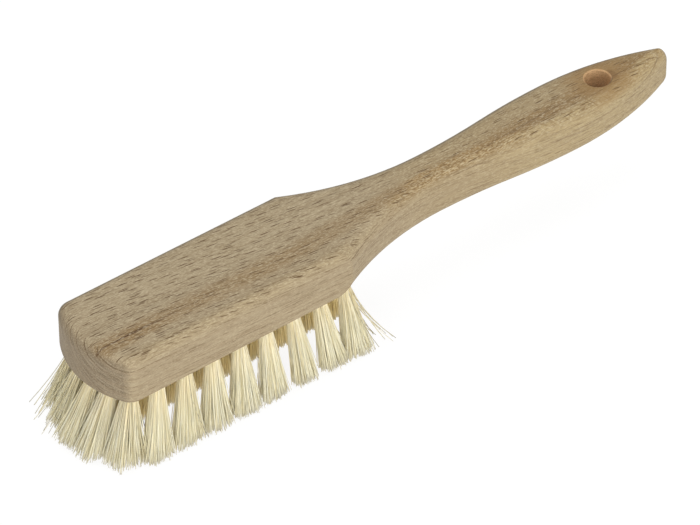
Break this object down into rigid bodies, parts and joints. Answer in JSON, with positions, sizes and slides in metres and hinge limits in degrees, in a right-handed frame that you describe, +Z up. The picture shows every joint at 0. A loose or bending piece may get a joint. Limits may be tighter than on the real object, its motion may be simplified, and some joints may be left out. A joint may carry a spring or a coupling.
{
  "type": "scrub brush",
  "caption": "Scrub brush: a flat wooden head with rows of stiff plant-fibre tufts, and a waisted grip with a hang hole at its point.",
  "frame": {"origin": "in the plane the bristle tips stand on, under the middle of the brush's length and width", "axes": "+X along the grip towards its point, +Y across the head, +Z up from the bristle tips to the back of the wood"},
  "size_m": [0.2862, 0.0559, 0.0516],
  "materials": {
    "beech_wood": "sanded, unvarnished",
    "bristle_fibre": "raw plant fibre",
    "staple_steel": "drawn wire"
  },
  "bodies": {
    "root": {"handle_block": "beech_wood", "tuft_fan_1": "bristle_fibre", "tuft_fan_2": "bristle_fibre", "tuft_fan_3": "bristle_fibre", "tuft_fan_4": "bristle_fibre", "tuft_fan_5": "bristle_fibre", "tuft_far_1": "bristle_fibre", "tuft_far_2": "bristle_fibre", "tuft_far_3": "bristle_fibre", "tuft_far_4": "bristle_fibre", "tuft_far_5": "bristle_fibre", "tuft_far_6": "bristle_fibre", "tuft_far_7": "bristle_fibre", "tuft_far_8": "bristle_fibre", "tuft_middle_1": "bristle_fibre", "tuft_middle_2": "bristle_fibre", "tuft_middle_3": "bristle_fibre", "tuft_middle_4": "bristle_fibre", "tuft_middle_5": "bristle_fibre", "tuft_middle_6": "bristle_fibre", "tuft_middle_7": "bristle_fibre", "tuft_middle_8": "bristle_fibre", "tuft_middle_9": "bristle_fibre", "tuft_near_1": "bristle_fibre", "tuft_near_2": "bristle_fibre", "tuft_near_3": "bristle_fibre", "tuft_near_4": "bristle_fibre", "tuft_near_5": "bristle_fibre", "tuft_near_6": "bristle_fibre", "tuft_near_7": "bristle_fibre", "tuft_near_8": "bristle_fibre", "tuft_staples": "staple_steel"}
  },
  "joints": []
}
